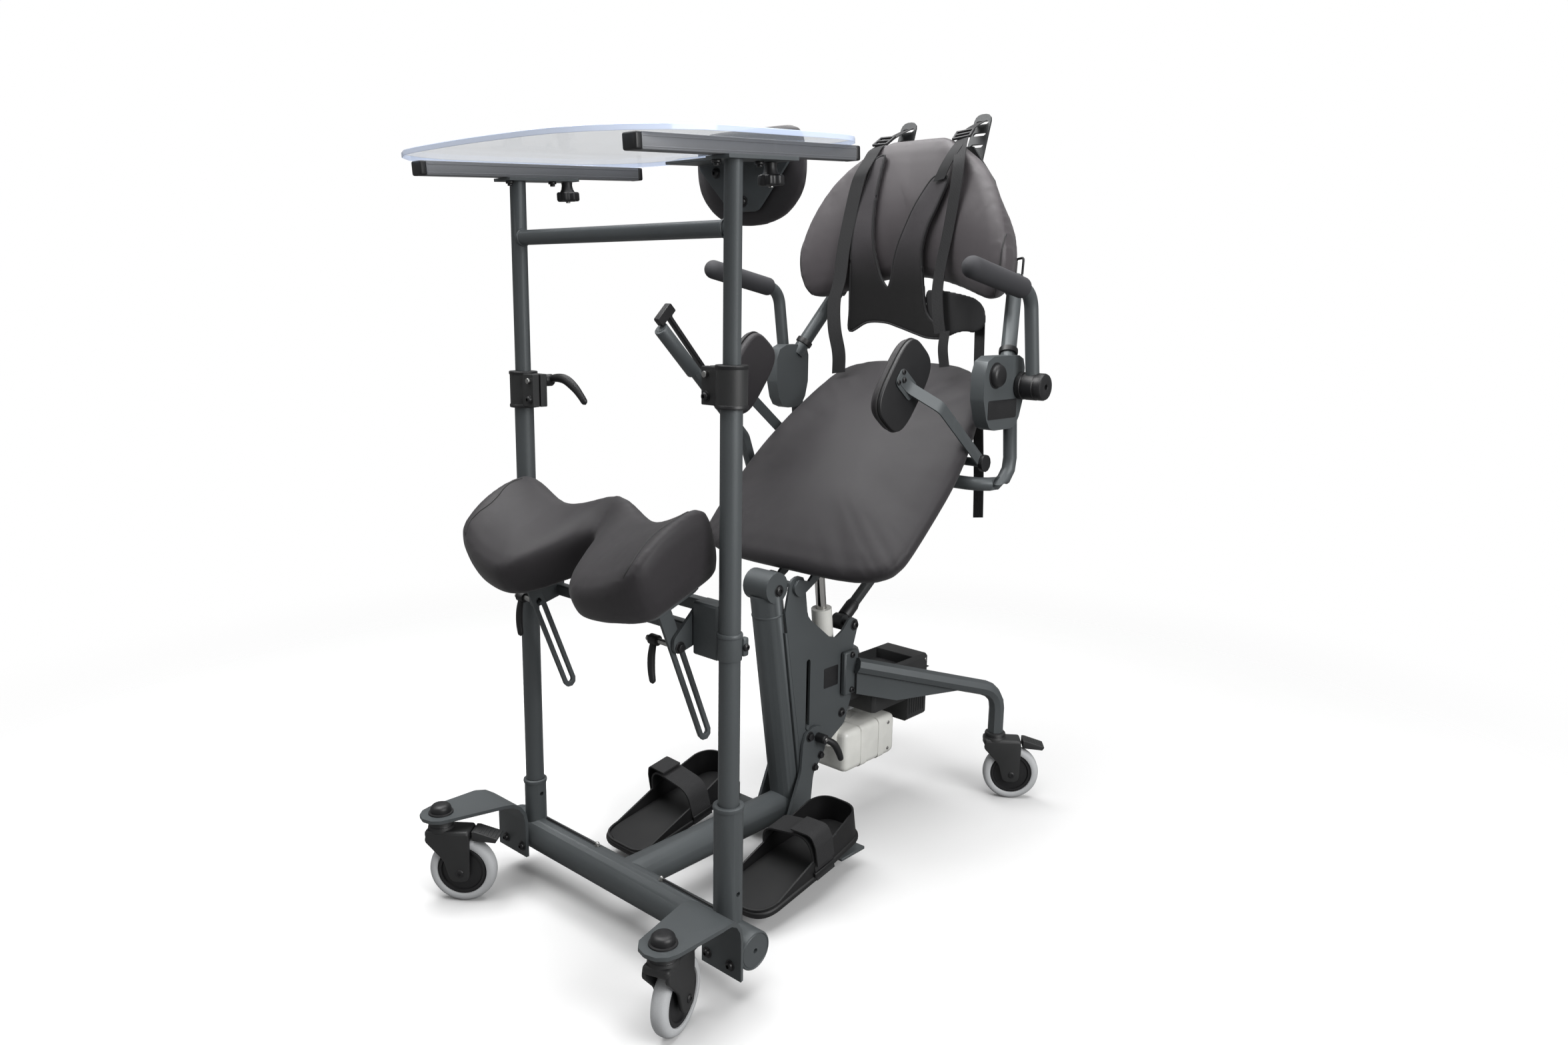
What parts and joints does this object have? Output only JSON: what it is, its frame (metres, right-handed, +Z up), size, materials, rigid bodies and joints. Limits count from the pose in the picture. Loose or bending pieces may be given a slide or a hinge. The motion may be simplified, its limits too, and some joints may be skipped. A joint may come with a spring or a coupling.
{
  "type": "standing_frame",
  "caption": "Wheeled sit-to-stand standing frame: padded seat and back on a parallel lift, swing-away front with tray, chest and knee pads, and foot plates set in height and angle.",
  "frame": {"origin": "Middle of the footprint on the floor, under the wheels.", "axes": "+Z up; the seated user faces -Y, towards the tray; +X is the user's left, the side of the hinged front post."},
  "size_m": [0.66, 1.1896, 1.3857],
  "materials": {
    "frame_paint": "satin powder coat",
    "black_plastic": "matte",
    "fork_plastic": "matte",
    "tyre": "smooth grey rubber",
    "cream_plastic": "semi gloss",
    "chrome": "polished",
    "vinyl": "soft matte vinyl",
    "webbing": "matte webbing",
    "clear_tray": "clear acrylic"
  },
  "bodies": {
    "base": {"base_frame": "frame_paint", "side_plate_left": "frame_paint", "side_plate_right": "frame_paint", "rear_leg_left": "frame_paint", "rear_leg_right": "frame_paint", "caster_bracket_left": "frame_paint", "caster_bracket_right": "frame_paint", "control_box": "black_plastic"},
    "fork_front_left": {"caster_fork_front_left": "fork_plastic"},
    "wheel_front_left": {"caster_wheel_front_left": "tyre"},
    "pedal_front_left": {"brake_pedal_front_left": "fork_plastic"},
    "fork_front_right": {"caster_fork_front_right": "fork_plastic"},
    "wheel_front_right": {"caster_wheel_front_right": "tyre"},
    "pedal_front_right": {"brake_pedal_front_right": "fork_plastic"},
    "fork_rear_left": {"caster_fork_rear_left": "fork_plastic"},
    "wheel_rear_left": {"caster_wheel_rear_left": "tyre"},
    "pedal_rear_left": {"brake_pedal_rear_left": "fork_plastic"},
    "fork_rear_right": {"caster_fork_rear_right": "fork_plastic"},
    "wheel_rear_right": {"caster_wheel_rear_right": "tyre"},
    "pedal_rear_right": {"brake_pedal_rear_right": "fork_plastic"},
    "seat": {"seat_frame": "frame_paint", "seat_cushion": "vinyl"},
    "back": {"back_frame": "frame_paint", "back_cushion": "vinyl", "back_shell": "frame_paint", "harness": "webbing"},
    "link": {"link_arm": "frame_paint"},
    "actuator": {"actuator_body": "cream_plastic"},
    "rod": {"actuator_rod": "chrome"},
    "handle_left": {"handle_left": "frame_paint"},
    "hip_left": {"hip_bar_left": "frame_paint", "hip_pad_left": "vinyl"},
    "handle_right": {"handle_right": "frame_paint"},
    "hip_right": {"hip_bar_right": "frame_paint", "hip_pad_right": "vinyl"},
    "lever": {"hand_lever": "black_plastic"},
    "trigger": {"squeeze_trigger": "black_plastic"},
    "front": {"lower_frame": "frame_paint", "clamp_left": "black_plastic", "clamp_right": "black_plastic"},
    "upper": {"upper_frame": "frame_paint"},
    "clamp_lever_left": {"clamp_lever_left": "black_plastic"},
    "clamp_lever_right": {"clamp_lever_right": "black_plastic"},
    "tray": {"tray": "clear_tray", "tray_rail_left": "black_plastic", "tray_rail_right": "black_plastic", "chest_bracket": "frame_paint", "chest_pad": "vinyl"},
    "tray_knob_left": {"tray_knob_left": "black_plastic"},
    "tray_knob_right": {"tray_knob_right": "black_plastic"},
    "knee": {"knee_base": "frame_paint", "knee_pad": "vinyl"},
    "knee_lever_left": {"knee_lever_left": "black_plastic"},
    "knee_lever_right": {"knee_lever_right": "black_plastic"},
    "foot_arm_left": {"foot_arm_left": "frame_paint"},
    "foot_plate_left": {"foot_plate_left": "black_plastic"},
    "foot_lever_left": {"foot_lever_left": "black_plastic"},
    "foot_arm_right": {"foot_arm_right": "frame_paint"},
    "foot_plate_right": {"foot_plate_right": "black_plastic"},
    "foot_lever_right": {"foot_lever_right": "black_plastic"}
  },
  "joints": [
    {"name": "swivel_front_left", "type": "hinge", "parent": "base", "child": "fork_front_left", "pos_m": [0.2825, -0.50729, 0.145], "axis": [0, 0, 1], "continuous": true},
    {"name": "roll_front_left", "type": "hinge", "parent": "fork_front_left", "child": "wheel_front_left", "pos_m": [0.27078, -0.47325, 0.0575], "axis": [0.9455, 0.3256, 0], "continuous": true},
    {"name": "brake_front_left", "type": "hinge", "parent": "fork_front_left", "child": "pedal_front_left", "pos_m": [0.26427, -0.45434, 0.125], "axis": [0.9455, 0.3256, 0], "range_deg": [-10, 0]},
    {"name": "swivel_front_right", "type": "hinge", "parent": "base", "child": "fork_front_right", "pos_m": [-0.2825, -0.50729, 0.145], "axis": [0, 0, 1], "continuous": true},
    {"name": "roll_front_right", "type": "hinge", "parent": "fork_front_right", "child": "wheel_front_right", "pos_m": [-0.25452, -0.48463, 0.0575], "axis": [0.6293, -0.7771, 0], "continuous": true},
    {"name": "brake_front_right", "type": "hinge", "parent": "fork_front_right", "child": "pedal_front_right", "pos_m": [-0.23898, -0.47205, 0.125], "axis": [0.6293, -0.7771, 0], "range_deg": [-10, 0]},
    {"name": "swivel_rear_left", "type": "hinge", "parent": "base", "child": "fork_rear_left", "pos_m": [0.19, 0.50571, 0.145], "axis": [0, 0, 1], "continuous": true},
    {"name": "roll_rear_left", "type": "hinge", "parent": "fork_rear_left", "child": "wheel_rear_left", "pos_m": [0.21875, 0.52738, 0.0575], "axis": [0.6018, -0.7986, 0], "continuous": true},
    {"name": "brake_rear_left", "type": "hinge", "parent": "fork_rear_left", "child": "pedal_rear_left", "pos_m": [0.23472, 0.53941, 0.125], "axis": [0.6018, -0.7986, 0], "range_deg": [-10, 0]},
    {"name": "swivel_rear_right", "type": "hinge", "parent": "base", "child": "fork_rear_right", "pos_m": [-0.19, 0.50571, 0.145], "axis": [0, 0, 1], "continuous": true},
    {"name": "roll_rear_right", "type": "hinge", "parent": "fork_rear_right", "child": "wheel_rear_right", "pos_m": [-0.21314, 0.53329, 0.0575], "axis": [0.766, 0.6428, 0], "continuous": true},
    {"name": "brake_rear_right", "type": "hinge", "parent": "fork_rear_right", "child": "pedal_rear_right", "pos_m": [-0.226, 0.54861, 0.125], "axis": [0.766, 0.6428, 0], "range_deg": [-10, 0]},
    {"name": "lift", "type": "hinge", "parent": "base", "child": "seat", "pos_m": [0, 0.04271, 0.515], "axis": [1, 0, 0], "range_deg": [-42, 33]},
    {"name": "back_level", "type": "hinge", "parent": "seat", "child": "back", "pos_m": [0, 0.29771, 0.7], "axis": [1, 0, 0], "range_deg": [-33.5, 42.5]},
    {"name": "link_swing", "type": "hinge", "parent": "base", "child": "link", "pos_m": [0, 0.21271, 0.406], "axis": [1, 0, 0], "range_deg": [-42.5, 33.5]},
    {"name": "actuator_tilt", "type": "hinge", "parent": "base", "child": "actuator", "pos_m": [0, 0.17971, 0.235], "axis": [1, 0, 0], "range_deg": [-3.5, 3.5]},
    {"name": "actuator_stroke", "type": "slide", "parent": "actuator", "child": "rod", "axis": [0, -0.1238, 0.9923], "range_m": [-0.078, 0.062]},
    {"name": "handle_flip_left", "type": "hinge", "parent": "back", "child": "handle_left", "pos_m": [0.302, 0.37371, 0.879], "axis": [1, 0, 0], "range_deg": [-90, 0]},
    {"name": "hip_swing_left", "type": "hinge", "parent": "seat", "child": "hip_left", "pos_m": [0.23528, 0.32019, 0.73682], "axis": [1, 0, 0], "range_deg": [-12, 12]},
    {"name": "handle_flip_right", "type": "hinge", "parent": "back", "child": "handle_right", "pos_m": [-0.302, 0.37371, 0.879], "axis": [1, 0, 0], "range_deg": [-90, 0]},
    {"name": "hip_swing_right", "type": "hinge", "parent": "seat", "child": "hip_right", "pos_m": [-0.23528, 0.32019, 0.73682], "axis": [1, 0, 0], "range_deg": [-12, 12]},
    {"name": "lever_pull", "type": "hinge", "parent": "seat", "child": "lever", "pos_m": [-0.263, 0.23844, 0.66321], "axis": [1, 0, 0], "range_deg": [0, 25]},
    {"name": "trigger_squeeze", "type": "hinge", "parent": "lever", "child": "trigger", "pos_m": [-0.263, 0.10063, 0.87903], "axis": [1, 0, 0], "range_deg": [0, 3.5], "stiffness_Nm_per_rad": 2},
    {"name": "front_swing", "type": "hinge", "parent": "base", "child": "front", "pos_m": [0.243, -0.34229, 0.13], "axis": [0, 0, 1], "range_deg": [0, 110]},
    {"name": "front_height", "type": "slide", "parent": "front", "child": "upper", "axis": [0, 0, 1], "range_m": [-0.16, 0.1]},
    {"name": "clamp_turn_left", "type": "hinge", "parent": "front", "child": "clamp_lever_left", "pos_m": [0.207, -0.32799, 0.922], "axis": [0, 1, 0], "range_deg": [0, 90]},
    {"name": "clamp_turn_right", "type": "hinge", "parent": "front", "child": "clamp_lever_right", "pos_m": [-0.207, -0.32799, 0.888], "axis": [0, -1, 0], "range_deg": [0, 90]},
    {"name": "tray_slide", "type": "slide", "parent": "upper", "child": "tray", "axis": [0, 0.9974, 0.0715], "range_m": [-0.09, 0.06]},
    {"name": "tray_knob_turn_left", "type": "hinge", "parent": "upper", "child": "tray_knob_left", "pos_m": [0.229, -0.25629, 1.20955], "axis": [0, -0.0715, 0.9974], "range_deg": [0, 180]},
    {"name": "tray_knob_turn_right", "type": "hinge", "parent": "upper", "child": "tray_knob_right", "pos_m": [-0.229, -0.25629, 1.20955], "axis": [0, -0.0715, 0.9974], "range_deg": [0, 180]},
    {"name": "knee_height", "type": "slide", "parent": "front", "child": "knee", "axis": [0, -0.366, 0.9306], "range_m": [0, 0.1]},
    {"name": "knee_lever_turn_left", "type": "hinge", "parent": "front", "child": "knee_lever_left", "pos_m": [0.1572, -0.37829, 0.527], "axis": [1, 0, 0], "range_deg": [-80, 0]},
    {"name": "knee_lever_turn_right", "type": "hinge", "parent": "front", "child": "knee_lever_right", "pos_m": [-0.1778, -0.37829, 0.527], "axis": [1, 0, 0], "range_deg": [-80, 0]},
    {"name": "foot_height_left", "type": "slide", "parent": "base", "child": "foot_arm_left", "axis": [0, 0, 1], "range_m": [0, 0.12]},
    {"name": "foot_angle_left", "type": "hinge", "parent": "foot_arm_left", "child": "foot_plate_left", "pos_m": [0.15, 0.04171, 0.058], "axis": [1, 0, 0], "range_deg": [-25, 0]},
    {"name": "foot_lever_turn_left", "type": "hinge", "parent": "foot_arm_left", "child": "foot_lever_left", "pos_m": [0.0428, 0.10071, 0.209], "axis": [1, 0, 0], "range_deg": [0, 90]},
    {"name": "foot_height_right", "type": "slide", "parent": "base", "child": "foot_arm_right", "axis": [0, 0, 1], "range_m": [0, 0.12]},
    {"name": "foot_angle_right", "type": "hinge", "parent": "foot_arm_right", "child": "foot_plate_right", "pos_m": [-0.15, 0.04171, 0.058], "axis": [1, 0, 0], "range_deg": [-25, 0]},
    {"name": "foot_lever_turn_right", "type": "hinge", "parent": "foot_arm_right", "child": "foot_lever_right", "pos_m": [-0.0428, 0.10071, 0.209], "axis": [1, 0, 0], "range_deg": [0, 90]}
  ],
  "couplings": [
    {"joint": "back_level", "follows": "lift", "ratio": -1},
    {"joint": "link_swing", "follows": "lift", "ratio": 1},
    {"joint": "actuator_tilt", "follows": "lift", "ratio": 0.0418},
    {"joint": "actuator_stroke", "follows": "lift", "m_per_rad": 0.10011}
  ]
}
